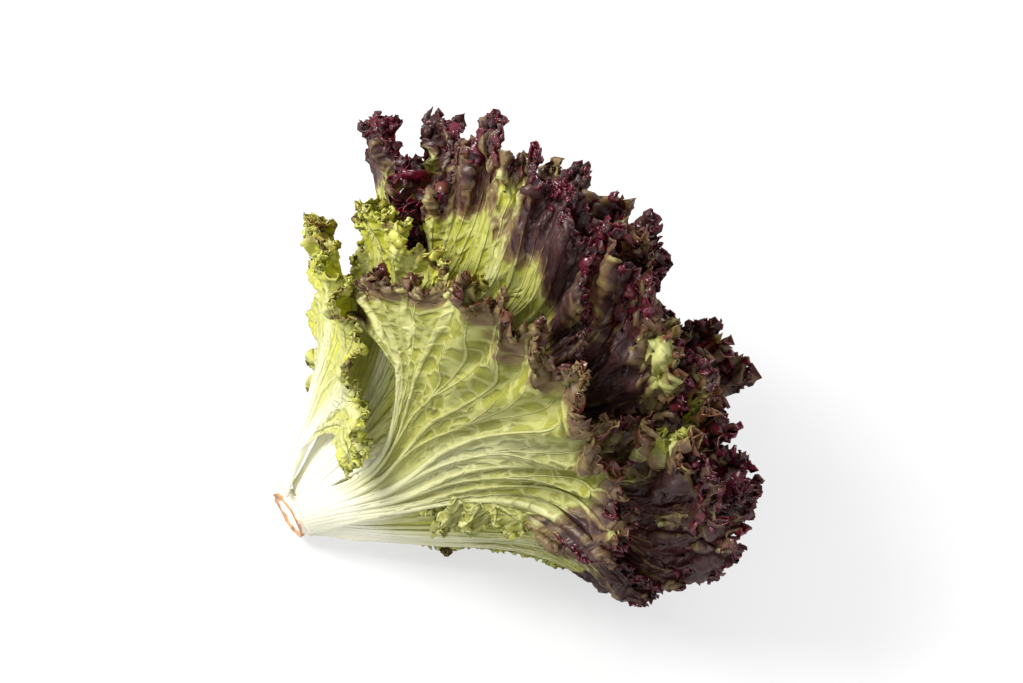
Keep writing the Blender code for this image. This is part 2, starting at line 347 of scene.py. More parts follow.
def spine(leaf, t):
    """(s, radius, lean) of the leaf's layer at the length t along it."""
    steps = np.linspace(0.0, SPINE_REACH, SPINE_STEPS)
    lean = (
        BASE_LEAN
        + OUTER_LEAN * leaf.layer**1.1
        + OUTER_FLARE * leaf.layer * smooth(steps / FLARE_LENGTH)
    )
    start = between((LAST_BASE, FIRST_BASE), leaf.layer)
    clear = GAP + 0.525 * between((BLADE, MIDRIB), leaf.layer**4)
    step = steps[1] - steps[0]
    s = start + clear * math.sin(lean[0]) + np.cumsum(np.cos(lean) * step)
    radius = core_radius(start) + clear + np.cumsum(np.sin(lean) * step)
    return np.interp(t, steps, s), np.interp(t, steps, radius), np.interp(t, steps, lean)


def waves(leaf, u):
    """The large waves along a leaf's margin, as sines a quarter turn apart."""
    count = round(4.4 * leaf.width / WAVE_LENGTH)
    phase = math.pi * count * u + 0.5 * np.sin(5 * math.pi * u + leaf.seed) + leaf.seed
    return np.sin(phase), np.cos(phase)


def margin_place(leaf, u):
    """(t, w) of the flattened leaf's margin."""
    angle = u * FAN_HALF_ANGLE
    t = leaf.length * (FAN_CENTRE + (1 - FAN_CENTRE) * np.cos(angle))
    if leaf.skew == 0 and leaf.layer > INNER_LAYERS[0]:
        t = t + SHOULDER * np.sin(2 * angle) ** 2 * (np.abs(angle) < math.pi / 2)
    return (
        t * (1 + leaf.skew * np.minimum(u, 0) ** 2),
        leaf.width * np.sin(angle) * (1 - leaf.narrow * smooth(u)),
    )


def flat_leaf(leaf, u, v, teeth=0.0):
    """(t, w) on the flattened leaf. Columns follow the veins from the base to the margin."""
    frill = smooth((v - FRILL_START) / (1 - FRILL_START))
    reach = v * (1 + SCALLOP * waves(leaf, u)[1] * frill**2 + teeth)
    margin_t, margin_w = margin_place(leaf, u)
    wider = 1 + WIDER_STALK * smooth((leaf.layer - 0.93) / 0.03)
    petiole = between(PETIOLE_HALF_WIDTHS, leaf.layer) * wider * u
    t = margin_t * reach**0.95 + leaf.sweep * u * u * 4 * reach * (1 - reach)
    w = petiole * (1 - np.clip(reach, 0, 1)) ** 1.5 + margin_w * reach**VEIN_CURVE
    return t, w + leaf.bow * t * t / leaf.length


def ruffle(leaf, u, v, t):
    """How far the large waves swing the margin out of its layer, where no leaf lies over it."""
    frill = smooth((v - FRILL_START) / (1 - FRILL_START)) ** 1.2
    covered = COVERED_LENGTH * (1 - smooth((leaf.layer - 0.96) / 0.04))
    free = smooth((t - covered) / 0.06)
    return WAVE * leaf.layer**2 * frill * free * (1 + waves(leaf, u)[0]) + leaf.curl * frill**2


def axis_point(s):
    """(x, z) of the head's axis: an arc from the stem's tilt to the head's, then straight."""
    curvature = (HEAD_TILT - STEM_TILT) / BEND_LENGTH
    arc = np.minimum(s, BEND_LENGTH)
    tilt = STEM_TILT + curvature * arc
    x = (np.sin(tilt) - math.sin(STEM_TILT)) / curvature + (s - arc) * math.cos(HEAD_TILT)
    z = (math.cos(STEM_TILT) - np.cos(tilt)) / curvature + (s - arc) * math.sin(HEAD_TILT)
    return x, z + TABLE_LEVEL, tilt


def folds(s, azimuth):
    """Pleats that all layers share, running along the head and swaying as they go, -1 to 1."""
    sway = np.sin(2 * math.pi * s / FOLD_LENGTH)
    return 0.75 * np.sin(13 * azimuth + 1.3 * sway) + 0.25 * np.sin(8 * azimuth + 1.1 - 2.0 * sway)


def squashed(radius, direction, more, less):
    """Offset from the axis. Outside the core it is narrowed, differently on its two sides."""
    narrowed = 0.5 * (more + less) + 0.5 * (more - less) * direction
    loose = 0.5 * (radius - CORE + np.sqrt((radius - CORE) ** 2 + CORE_SOFTNESS**2))
    return direction * (radius + loose * (narrowed - 1))


def place(s, radius, azimuth):
    """Position of the point at s along the head's axis, and radius and azimuth about it."""
    grown = smooth(s / GROWN_LENGTH)
    uneven = OVAL * np.cos(2 * azimuth + 1.0) + LOBED * np.cos(5 * azimuth + 25 * s)
    radius = radius * (1 + grown * uneven)
    s = s + CROWN_TILT * grown * radius * np.cos(azimuth - CROWN_SIDE)
    azimuth = azimuth + TWIST * grown * np.sin(38 * s + 22 * radius)
    s = s + SLIDE * grown * np.sin(3 * azimuth + 50 * radius)
    loose = smooth((s - 0.04) / 0.12) * smooth(radius / 0.045)
    radius = radius + FOLD * loose * folds(s, azimuth)
    side = squashed(radius, np.cos(azimuth), FAR_SQUASH, NEAR_SQUASH)
    up = squashed(radius, np.sin(azimuth), UPPER_SQUASH, LOWER_SQUASH)
    axis_x, axis_z, tilt = axis_point(s)
    x = axis_x - up * np.sin(tilt)
    z = axis_z + up * np.cos(tilt)
    pressed = 0.5 * (z + np.sqrt(z * z + TABLE_SOFTNESS**2))
    return np.stack([x, side, z + (pressed - z) * smooth(s / 0.05)], axis=-1)


def head_origin():
    """Where the CAD frame has the point that place() gives for the cut's centre.

    The tip of the CAD stem lies on the axis, so it shows how far the frame was moved.
    """
    tip = max((v.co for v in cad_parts["stem"].data.vertices), key=lambda co: co.x)
    zero = np.float64(0)
    return np.array(tip) - place(np.float64(STEM_LENGTH + STEM_TIP_RADIUS), zero, zero)


ORIGIN = head_origin()


def blade_points(leaf, u, v, teeth=0.0):
    """Positions of the middle of the blade, as the CAD solid has them, and its flat (t, w)."""
    t, w = flat_leaf(leaf, u, v, teeth)
    s, radius, lean = spine(leaf, t)
    azimuth = math.radians(leaf.azimuth) + MOST_WRAP * np.tanh(w / (radius * MOST_WRAP))
    swing = ruffle(leaf, u, v, t)
    points = place(s - np.sin(lean) * swing, radius + np.cos(lean) * swing, azimuth)
    return points + ORIGIN, t, w


def directions(points):
    """Unit normals out of the head, and unit directions across and up the sheet."""
    across, up = np.gradient(points, axis=1), np.gradient(points, axis=0)
    return [
        d / np.maximum(np.linalg.norm(d, axis=-1, keepdims=True), 1e-12)
        for d in (np.cross(across, up), across, up)
    ]


@functools.cache
def smooth_part(leaf, across=33, up=17, depth=0.020):
    """Corners and faces of a leaf's blade without its frilled margin, as a coarse net."""
    u = np.linspace(-1, 1, across)[None, :] + np.zeros((up, 1))
    margin = np.hypot(*margin_place(leaf, u))
    v = np.linspace(0, 1, up)[:, None] * (1 - depth / margin)
    points = blade_points(leaf, u, v)[0].reshape(-1, 3)
    index = np.arange(across * up).reshape(up, across)
    corners = (index[:-1, :-1], index[:-1, 1:], index[1:, 1:], index[1:, :-1])
    return points, np.stack(corners, axis=-1).reshape(-1, 4)


def room_round(leaf, points, normals):
    """How far each point may swing out and in before it meets another leaf or the table."""
    corners, faces, count = [], [], 0
    for other in ALL_LEAVES:
        if other.name != leaf.name:
            net, quads = smooth_part(other)
            corners.append(net)
            faces.append(quads + count)
            count += len(net)
    tree = BVHTree.FromPolygons(np.concatenate(corners).tolist(), np.concatenate(faces).tolist())
    room = np.full((2, *points.shape[:2]), ROOM_REACH)
    for side, sign in enumerate((1, -1)):
        for i, j in np.ndindex(points.shape[:2]):
            direction = Vector(normals[i, j] * sign)
            start = Vector(points[i, j])
            distance = tree.ray_cast(start + direction * 1e-4, direction, ROOM_REACH)[3]
            if distance is not None:
                room[side, i, j] = distance
            if direction.z < -0.05 and start.z < 0.02:
                room[side, i, j] = min(room[side, i, j], max(start.z, 0) / -direction.z)
    for _ in range(2):
        padded = np.pad(room, ((0, 0), (1, 1), (1, 1)), mode="edge")
        around = [
            padded[:, i : i + room.shape[1], j : j + room.shape[2]]
            for i, j in np.ndindex(3, 3)
        ]
        room = 0.5 * np.minimum.reduce(around) + 0.5 * sum(around) / 9
    return room


def resample(values, rows, columns):
    """Values of a regular net at fractional rows and columns."""
    i = np.clip(np.floor(rows).astype(int), 0, values.shape[0] - 2)
    j = np.clip(np.floor(columns).astype(int), 0, values.shape[1] - 2)
    up, across = rows - i, columns - j
    if values.ndim == 3:
        up, across = up[..., None], across[..., None]
    near = values[i, j] * (1 - across) + values[i, j + 1] * across
    far = values[i + 1, j] * (1 - across) + values[i + 1, j + 1] * across
    return near * (1 - up) + far * up


def limited(swing, room):
    """A swing out (above 0) or in (below 0), kept within the room on that side."""
    out, back = np.maximum(room[0], 1e-5), np.maximum(room[1], 1e-5)
    return np.where(swing > 0, out * np.tanh(swing / out), back * np.tanh(swing / back))


def vein_distance(phase, v, span):
    """Distance from the nearest vein (m), for veins that branch twice on their way up."""
    share = phase - np.floor(phase)
    main = np.minimum(share, 1 - share)
    first = 0.5 * smooth((v - FIRST_BRANCH[0]) / (FIRST_BRANCH[1] - FIRST_BRANCH[0]))
    second = 0.25 * smooth((v - SECOND_BRANCH[0]) / (SECOND_BRANCH[1] - SECOND_BRANCH[0]))
    branch = np.abs(share - first)
    twig = np.abs(branch - second)
    return main * span, np.minimum(branch, twig) * span


def frill_stretch(leaf):
    """How much deeper the frills of the reddest leaves go than those of the others."""
    return DEEP_FRILLS if leaf.red_depth > DEEP_RED else 1.0


Net = namedtuple("Net", "u v vein_length depth along")


def sheet_net(leaf):
    """The sheet's net. Half of its rows are in the frilled part."""
    u = np.linspace(-1, 1, SHEET_ACROSS)[None, :] + np.zeros((SHEET_UP, 1))
    y = np.linspace(0, 1, SHEET_UP)[:, None]
    vein_length = np.hypot(*margin_place(leaf, u))
    start = 1 - frill_stretch(leaf) * bpy.context.scene.lettuce_frills.depth / vein_length
    v = np.where(y < 0.5, 2 * y * start, 1 - 2 * (1 - y) * (1 - start))
    edge = np.stack(margin_place(leaf, u[0]), axis=-1)
    along = np.concatenate([[0], np.cumsum(np.linalg.norm(np.diff(edge, axis=0), axis=1))])
    along = along[None, :] + np.zeros((SHEET_UP, 1))
    return Net(u, v, vein_length, (1 - v) * vein_length, along)


def margin_shape(leaf, net):
    """The margin's lobes and teeth, as a share of the veins that end there."""
    frills = bpy.context.scene.lettuce_frills

    def uneven(number, size):
        return patches(leaf.seed + number, net.along / size, 0 * net.v)

    lobes = frills.lobe * np.sin(2 * math.pi * net.along / LOBE_SPACING + 3 * uneven(1, 0.011))
    lobes = lobes * (1 + 0.5 * uneven(8, 0.016))
    drift = 0.35 * uneven(9, 0.004)
    nicks = np.abs(2 * ((net.along / frills.tooth_spacing + drift) % 1) - 1) - 0.5
    teeth = frills.tooth * nicks * (1 + 0.8 * uneven(2, 0.004))
    near_edge = smooth(1 - net.depth / TOOTHED_REACH) ** 1.5
    return (lobes + teeth) * near_edge / net.vein_length


def vein_phase(leaf, net, w):
    """The veins' phase, a whole number at each main one, and how wide (m) one phase is."""
    wander = 0.30 * patches(leaf.seed + 3, 4 * net.u + 9, 3 * net.v) * smooth(net.v / 0.3)
    phase = MAIN_VEINS * net.u + 0.5 + wander
    span = np.abs(np.gradient(w, axis=1)) / np.maximum(np.abs(np.gradient(phase, axis=1)), 1e-9)
    return phase, span


def vein_relief(leaf, net, phase, span, t, w):
    """How far the veins stand out and the blade between them is blistered inwards."""
    frills, v = bpy.context.scene.lettuce_frills, net.v
    main, branch = vein_distance(phase, v, span)
    showing = smooth((v - 0.12) / 0.25)
    width = between(VEIN_WIDTHS, smooth(v))
    ridge = bell(main / width) + 0.6 * bell(branch / (0.7 * width)) * showing
    rung = v / RUNG_SPACING + 1.2 * patches(leaf.seed + 12, phase * 2 + 17, v / 0.12)
    rung = np.abs((rung % 1) - 0.5) * RUNG_SPACING * net.vein_length
    off_veins = smooth(np.minimum(main, branch) / 0.003)
    ridge = ridge + 0.15 * bell(rung / RUNG_WIDTH) * showing * off_veins
    hollow = np.minimum(np.minimum(main, branch), 1.3 * rung)
    hollow = 1 - bell(hollow / BLISTER_EDGE)
    pillow = 0.6 + 0.4 * patches(leaf.seed + 4, w / 0.006 + 40, t / 0.007)
    lamina = smooth(net.depth / 0.010)
    relief = frills.vein_height * ridge * (1 - 0.6 * v) * smooth(v / 0.2)
    return relief - frills.blister * hollow * pillow * showing * (0.35 + 0.65 * lamina)


def sheet_room(leaf, points, normal):
    """The room all over the sheet, worked out on some of its rows and columns."""
    rows = np.arange(0, SHEET_UP, ROOM_ROW_STEP)
    columns = np.arange(0, SHEET_ACROSS, ROOM_COLUMN_STEP)
    room = room_round(leaf, points[np.ix_(rows, columns)], normal[np.ix_(rows, columns)])
    row, column = np.arange(SHEET_UP) / ROOM_ROW_STEP, np.arange(SHEET_ACROSS) / ROOM_COLUMN_STEP
    at = np.meshgrid(row, column, indexing="ij")
    return np.stack([ROOM_SHARE * resample(side, *at) for side in room])


def add_frills(leaf, net, points, room):
    """Frills on frills, each finer and nearer the margin than the one before.

    Returns the points, the room that is left, and how far each point is out on its crest.
    """
    frills, stretch = bpy.context.scene.lettuce_frills, frill_stretch(leaf)
    along, depth = net.along, net.depth
    crest = np.zeros_like(net.v)
    sizes = (
        (frills.depth, frills.large_length, frills.large_swing),
        (MIDDLE_REACH, frills.middle_length, frills.middle_swing),
        (SMALL_REACH, frills.small_length, frills.small_swing),
        (FINE_REACH, frills.fine_length, frills.fine_swing),
    )
    for number, (reach, length, most) in enumerate(sizes):
        sideways, outwards, curling = FRILL_LEANS[number]
        normal, across, up = directions(points)
        seed = leaf.seed * 7 + number
        most = most * leaf.frill if number == 0 else most * leaf.frill**0.5
        uneven = patches(seed, along / (1.7 * length), depth / (1.2 * length) + 5)
        amount = most * smooth(1.05 - depth / (reach * stretch)) * (0.85 + 0.40 * uneven)
        narrowed = 1 - 0.8 * leaf.narrow * smooth(2 * net.u)
        amount = amount * narrowed * (1 - 0.5 * smooth(0.7 * crest))
        drift = 0.55 * patches(seed + 100, along / (1.5 * length), depth / (1.1 * length))
        turn = 2 * math.pi * (along / length + drift)
        wave = np.sin(turn) + 0.35 * np.sin(2 * turn + 5 * drift) + outwards
        swing = limited(amount * wave, room)
        shrink = np.abs(swing) / np.maximum(np.abs(amount * wave), 1e-9)
        slide = sideways * amount * np.sin(2 * turn) * np.minimum(shrink, 1)
        roll = curling * np.maximum(swing, 0) ** 2 / most
        points = points + normal * swing[..., None]
        points = points + across * slide[..., None] - up * roll[..., None]
        room = np.stack([room[0] - swing, room[1] + swing])
        crest = crest + swing / most
    return points, room, crest


def add_crinkles(leaf, net, points, room):
    """The fine crinkles of the frilled part, and the coarser ones of the reddest leaves."""
    frills, stretch = bpy.context.scene.lettuce_frills, frill_stretch(leaf)
    along, depth = net.along, net.depth
    normal = directions(points)[0]
    crinkle = patches(leaf.seed + 6, along / 0.0030, depth / 0.0030)
    crinkle = crinkle + 0.6 * patches(leaf.seed + 7, along / 0.0014, depth / 0.0014)
    fading = smooth(1.15 - depth / (CRINKLE_REACH * stretch))
    points = points + normal * limited(frills.crinkle * crinkle * fading, room)[..., None]
    if stretch > 1:
        crumple = patches(leaf.seed + 13, along / 0.0065, depth / 0.0075)
        fading = smooth(1.2 - depth / CRUMPLE_REACH) * smooth(depth / 0.008)
        points = points + normal * limited(frills.crumple * crumple * fading, room)[..., None]
    return points


def redness(leaf, net, t, blotch):
    """How red the leaf is, 0 to 1 and more: most at its margin, and not near the stem."""
    u, v, depth = net.u, net.v, net.depth
    red_depth = leaf.red_depth * (
        0.85 + 0.65 * bell((u - 0.05) / 0.30) + 1.3 * leaf.narrow * bell((u - 0.55) / 0.22)
    )
    red = leaf.red * smooth((red_depth * (1.25 + 0.5 * blotch) - depth) / (0.75 * red_depth))
    red = red * (1 + 0.9 * leaf.narrow * smooth((u - 0.05) / 0.20))
    red = red * (1 + 0.35 * patches(leaf.seed + 10, net.along / 0.022, depth / 0.03))
    red = red * smooth((t - between((GREEN_LENGTH, leaf.low_green), smooth(3 * u))) / REDDENING)
    for name, middle_u, middle_v, reach_u, reach_v in GREEN_SPOTS:
        if name == leaf.name:
            red = red * (1 - bell(np.hypot((u - middle_u) / reach_u, (v - middle_v) / reach_v)))
    return red


def leaf_sheet(leaf):
    """The leaf's shape on a fine regular sheet, and what its materials read from it."""
    blade = bpy.context.scene.lettuce_blade
    net = sheet_net(leaf)
    points, t, w = blade_points(leaf, net.u, net.v, margin_shape(leaf, net))
    phase, span = vein_phase(leaf, net, w)
    normal = directions(points)[0]
    room = sheet_room(leaf, points, normal)
    relief = vein_relief(leaf, net, phase, span, t, w)
    points = points + normal * limited(relief, room)[..., None]
    points, room, crest = add_frills(leaf, net, points, room)
    points = add_crinkles(leaf, net, points, room)

    # How red, how deep a green, how pale and how thick
    blotch = patches(leaf.seed + 5, w / 0.018 + 31, t / 0.018)
    rib_width = between(MIDRIB_WIDTHS, smooth((leaf.layer - 0.85) / 0.1))
    rib = bell(net.u * span * MAIN_VEINS / rib_width) * (1 - net.v) ** 0.8
    pale = rib * (1 - 0.55 * leaf.green) + bell(t / STALK_LENGTH) + 0.30 * bell(t / PALE_LENGTH)
    thick = np.clip(rib * (1 - net.v) ** 0.8, 0, 1)
    half = 0.5 * (blade.thickness + blade.rib * leaf.layer**4 * thick)
    points[..., 2] = np.maximum(points[..., 2], half + TABLE_GAP)
    return {
        "points": points,
        "phase": phase,
        "v": net.v,
        "t": t,
        "w": w,
        "span": span,
        "red": redness(leaf, net, t, blotch),
        "green": leaf.green * smooth(t / 0.10) + 0.15 * blotch,
        "pale": np.clip(pale, 0, 1),
        "crest": np.clip(0.5 + 0.3 * crest, 0, 1),
        "thick": thick,
    }


def row_to_y(row, rows):
    """The sheet's y for a mesh row: the blade takes the first rows, the frill the rest."""
    low = 0.5 * row / rows
    share = np.clip((row - rows) / FRILL_ROWS, 0, 1)
    high = 1 - 0.5 * (1 - share) ** FRILL_ROW_SQUEEZE
    return np.where(row < rows, low, high)


def blade_net(leaf):
    """A flat grid whose columns double towards the margin, made and cut in edit mode."""
    frills = bpy.context.scene.lettuce_frills
    rows = leaf.rows + FRILL_ROWS
    bpy.ops.object.select_all(action="DESELECT")
    bpy.ops.mesh.primitive_grid_add(
        x_subdivisions=leaf.columns, y_subdivisions=rows, size=2, calc_uvs=False
    )
    piece = bpy.context.object
    piece.name = leaf.name + "_frilled"
    piece.data.name = piece.name
    bpy.ops.object.mode_set(mode="EDIT")
    bpy.context.tool_settings.mesh_select_mode = (False, True, False)
    for depth in DOUBLING_DEPTHS if leaf.columns < FINE_COLUMNS else DOUBLING_DEPTHS[1:]:
        share = 1 - min(1.0, depth / frills.depth) ** (1 / FRILL_ROW_SQUEEZE)
        lowest = 2 * round(leaf.rows + FRILL_ROWS * share) / rows - 1 - 1e-4
        bpy.ops.mesh.select_all(action="DESELECT")
        net = bmesh.from_edit_mesh(piece.data)
        for edge in net.edges:
            low, high = edge.verts[0].co.y, edge.verts[1].co.y
            if abs(low - high) < 1e-4 and low > lowest:
                edge.select_set(True)
        bpy.ops.mesh.subdivide(number_cuts=1)
    bpy.ops.object.mode_set(mode="OBJECT")
    return piece


def write_uv(mesh, name, values):
    """A UV map with one place for each vertex."""
    layer = mesh.uv_layers.new(name=name)
    corners = np.zeros(len(mesh.loops), np.int32)
    mesh.loops.foreach_get("vertex_index", corners)
    layer.data.foreach_set("uv", values[corners].astype(np.float32).ravel())


def write_values(mesh, name, values):
    """A float attribute on the vertices."""
    mesh.attributes.new(name, "FLOAT", "POINT").data.foreach_set("value", values.astype(np.float32))


def make_leaf(leaf, materials):
    """One frilled leaf in place of its CAD solid."""
    blade = bpy.context.scene.lettuce_blade
    piece = blade_net(leaf)
    mesh = piece.data
    flat = np.zeros(len(mesh.vertices) * 3, np.float32)
    mesh.vertices.foreach_get("co", flat)
    flat = flat.reshape(-1, 3).astype(float)
    rows = leaf.rows + FRILL_ROWS
    y = row_to_y((flat[:, 1] + 1) / 2 * rows, leaf.rows)
    sheet = leaf_sheet(leaf)
    at = y * (SHEET_UP - 1), (flat[:, 0] + 1) / 2 * (SHEET_ACROSS - 1)
    points = resample(sheet["points"], *at)
    mesh.vertices.foreach_set("co", points.astype(np.float32).ravel())
    read = {name: resample(sheet[name], *at) for name in sheet if name != "points"}
    write_uv(mesh, "veins", np.stack([read["phase"], read["v"]], axis=-1))
    write_uv(mesh, "flat", np.stack([read["w"], read["t"]], axis=-1) * 10)
    for name in ("red", "green", "pale", "span", "crest"):
        write_values(mesh, name, read[name])
    most = blade.thickness + blade.rib * leaf.layer**4
    weights = (read["thick"] * (most - blade.thickness) + blade.thickness) / most
    group = piece.vertex_groups.new(name="thickness")
    for index, weight in enumerate(weights):
        group.add([index], float(weight), "REPLACE")
    for material in materials:
        mesh.materials.append(material)
    bpy.ops.object.shade_smooth()
    bpy.ops.object.modifier_add(type="SOLIDIFY")
    solidify = piece.modifiers[-1]
    solidify.thickness = most
    solidify.offset = 0
    solidify.use_even_offset = False
    solidify.vertex_group = group.name
    solidify.material_offset = 1
    solidify.material_offset_rim = 1
    bpy.ops.object.modifier_apply(modifier=solidify.name)
    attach(piece, "root")
    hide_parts(leaf.name)


class NodeBuilder:
    """Adds nodes to a tree and links what is given as their inputs."""

    def __init__(self, tree):
        self.tree = tree

    def add(self, kind, *inputs, **settings):
        """A new node. Inputs are sockets or values in order."""
        node = self.tree.nodes.new(kind)
        for name, value in settings.items():
            setattr(node, name, value)
        for socket, value in zip(node.inputs, inputs):
            self.feed(socket, value)
        return node

    def feed(self, socket, value):
        """Links a socket, or sets a value, on an input."""
        if isinstance(value, bpy.types.NodeSocket):
            self.tree.links.new(value, socket)
        else:
            socket.default_value = value

    def math(self, operation, *inputs, clamp=False):
        """The output of a Math node."""
        return self.add("ShaderNodeMath", *inputs, operation=operation, use_clamp=clamp).outputs[0]

    def ease(self, value, low, high, to_low=0.0, to_high=1.0):
        """A value taken smoothly from one range to another."""
        node = self.add("ShaderNodeMapRange", interpolation_type="SMOOTHSTEP")
        self.feed(node.inputs["Value"], value)
        self.feed(node.inputs["From Min"], low)
        self.feed(node.inputs["From Max"], high)
        self.feed(node.inputs["To Min"], to_low)
        self.feed(node.inputs["To Max"], to_high)
        return node.outputs["Result"]

    def mix(self, factor, first, second):
        """The output of a colour Mix node."""
        node = self.add("ShaderNodeMix", data_type="RGBA", clamp_factor=True)
        self.feed(node.inputs[0], factor)
        self.feed(node.inputs[6], first)
        self.feed(node.inputs[7], second)
        return node.outputs[2]

    def noise(self, vector, scale, detail=2.0):
        """Values of a Noise Texture."""
        node = self.add("ShaderNodeTexNoise", vector)
        node.inputs["Scale"].default_value = scale
        node.inputs["Detail"].default_value = detail
        return node.outputs["Fac"]

    def shaken(self, vector, by, scale, amount):
        """A vector moved by random amounts that another vector places."""
        noise = self.add("ShaderNodeTexNoise", by)
        noise.inputs["Scale"].default_value = scale
        shift = self.add("ShaderNodeVectorMath", noise.outputs["Color"], operation="SCALE")
        shift.inputs["Scale"].default_value = amount
        moved = self.add("ShaderNodeVectorMath", vector, shift.outputs[0], operation="ADD")
        return moved.outputs[0]

    def cells(self, vector, scale):
        """Distance from the edges between the cells of a Voronoi Texture."""
        node = self.add("ShaderNodeTexVoronoi", vector, feature="DISTANCE_TO_EDGE")
        node.inputs["Scale"].default_value = scale
        return node.outputs[0]

    def attribute(self, name):
        """A float attribute of the mesh."""
        return self.add("ShaderNodeAttribute", attribute_name=name).outputs["Fac"]


def pattern_group():
    """Node group with the branching veins, the fine net, the blistering and the red of a leaf."""
    tree = bpy.data.node_groups.new("leaf_pattern", "ShaderNodeTree")
    for name in ("Vein", "Net", "Red", "Height", "Blotch"):
        tree.interface.new_socket(name, in_out="OUTPUT", socket_type="NodeSocketFloat")
    b = NodeBuilder(tree)
    veins = b.add("ShaderNodeUVMap", uv_map="veins").outputs[0]
    flat = b.add("ShaderNodeUVMap", uv_map="flat").outputs[0]
    span, red = b.attribute("span"), b.attribute("red")
    split = b.add("ShaderNodeSeparateXYZ", veins)
    wander = b.math("MULTIPLY_ADD", b.noise(flat, 4.0, 1.0), 0.12, -0.06)
    phase = b.math("ADD", split.outputs[0], wander)
    v = split.outputs[1]

    # Veins, by the distance from the nearest one
    main = b.math("MULTIPLY", b.math("PINGPONG", phase, 0.5), span)
    first = b.ease(v, *FIRST_BRANCH, 0.0, 0.5)
    second = b.ease(v, *SECOND_BRANCH, 0.0, 0.25)
    branch = b.math("ABSOLUTE", b.math("SUBTRACT", b.math("FRACT", phase), first))
    twig = b.math("ABSOLUTE", b.math("SUBTRACT", branch, second))
    branch = b.math("MULTIPLY", b.math("MINIMUM", branch, twig), span)
    main_width = b.ease(v, 0.0, 1.0, 0.0020, 0.0006)
    branch_width = b.ease(v, 0.2, 1.0, 0.0009, 0.0004)
    main_mask = b.ease(main, b.math("MULTIPLY", main_width, 0.25), main_width, 1.0, 0.0)
    branch_mask = b.ease(branch, b.math("MULTIPLY", branch_width, 0.25), branch_width, 0.85, 0.0)
    vein = b.math("MAXIMUM", main_mask, branch_mask)

    # The net between them, its cells drawn out along the veins, and a finer net
    drawn_out = b.add("ShaderNodeVectorMath", veins, (3.2, 17, 1), operation="MULTIPLY").outputs[0]
    cells = b.cells(b.shaken(drawn_out, flat, 9, 1.2), 1)
    fine_cells = b.cells(b.shaken(flat, flat, 12, 0.02), 60)
    grown = b.ease(v, 0.30, 0.62)
    net = b.math("MULTIPLY", b.ease(cells, 0.03, 0.22, 1.0, 0.0), grown)
    dome = b.math("MULTIPLY", b.ease(cells, 0.0, 0.38), grown)
    fine_net = b.ease(fine_cells, 0.02, 0.14, 1.0, 0.0)

    # Red in blotches and freckles, weaker on the net and the veins
    blotch = b.noise(flat, 9.0, 3.0)
    freckle = b.noise(flat, 40.0, 3.0)
    redder = b.math("MULTIPLY_ADD", blotch, 0.8, b.math("MULTIPLY_ADD", freckle, 0.7, -0.64))
    redder = b.math("MULTIPLY", redder, b.ease(red, 0.0, 0.35))
    redder = b.math("ADD", red, redder)
    redder = b.math("MULTIPLY_ADD", net, -0.20, redder)
    redder = b.math("MULTIPLY_ADD", vein, -0.30, redder, clamp=True)

    height = b.math("MULTIPLY_ADD", net, 0.35, b.math("MULTIPLY", vein, 0.9))
    height = b.math("MULTIPLY_ADD", fine_net, 0.04, height)
    height = b.math("MULTIPLY_ADD", dome, -0.55, height)
    height = b.math("MULTIPLY_ADD", b.noise(flat, 160.0, 2.0), 0.10, height)
    either_net = b.math("MAXIMUM", net, b.math("MULTIPLY", fine_net, 0.25))
    b.add("NodeGroupOutput", vein, either_net, redder, height, blotch)
    return tree


def leaf_material(name, pattern, back):
    """The outer, dull side of a leaf or its inner, glossy one."""
    colours = bpy.context.scene.lettuce_colours
    side = OUTER_SIDE if back else INNER_SIDE
    material = bpy.data.materials.new(name)
    material.use_nodes = True
    tree = material.node_tree
    tree.nodes.clear()
    b = NodeBuilder(tree)
    look = b.add("ShaderNodeGroup", node_tree=pattern).outputs
    green, pale = b.attribute("green"), b.attribute("pale")
    lamina = b.mix(green, (*colours.young_green, 1), (*colours.deep_green, 1))
    lamina = b.mix(b.math("MULTIPLY", look["Blotch"], 0.45), lamina, (*colours.young_green, 1))
    lamina = b.mix(b.math("MULTIPLY", look["Net"], side.net), lamina, (*colours.vein, 1))
    veined = b.mix(b.math("MULTIPLY", look["Vein"], side.vein), lamina, (*colours.vein, 1))
    paler = b.mix(pale, veined, (*colours.rib, 1))
    brown = colours.brown_back if back else colours.brown_face
    wine = colours.wine_back if back else colours.wine_face
    blushed = b.mix(b.ease(look["Red"], *BROWNING), paler, (*brown, 1))
    coloured = b.mix(b.ease(look["Red"], *WINE), blushed, (*wine, 1))
    shader = b.add("ShaderNodeBsdfPrincipled")
    b.feed(shader.inputs["Base Color"], coloured)
    shader.inputs["Metallic"].default_value = 0
    shader.inputs["IOR"].default_value = 1.45
    shader.inputs["Specular IOR Level"].default_value = side.gloss
    b.feed(shader.inputs["Roughness"], b.ease(look["Blotch"], 0.3, 0.7, *side.roughness))
    bump = b.add("ShaderNodeBump", invert=not back)
    bump.inputs["Strength"].default_value = 0.9
    bump.inputs["Distance"].default_value = 0.0012
    b.feed(bump.inputs["Height"], look["Height"])
    b.feed(shader.inputs["Normal"], bump.outputs[0])
    through = b.add("ShaderNodeBsdfTranslucent")
    green_glow = b.mix(pale, (*colours.glow_green, 1), (*colours.rib, 1))
    glow = b.mix(b.ease(look["Red"], 0.15, 0.7), green_glow, (*colours.glow_red, 1))
    b.feed(through.inputs["Color"], glow)
    b.feed(through.inputs["Normal"], bump.outputs[0])
    both = b.add("ShaderNodeMixShader", GLOW_SHARE, shader.outputs[0], through.outputs[0])
    b.add("ShaderNodeOutputMaterial", both.outputs[0])
    return material


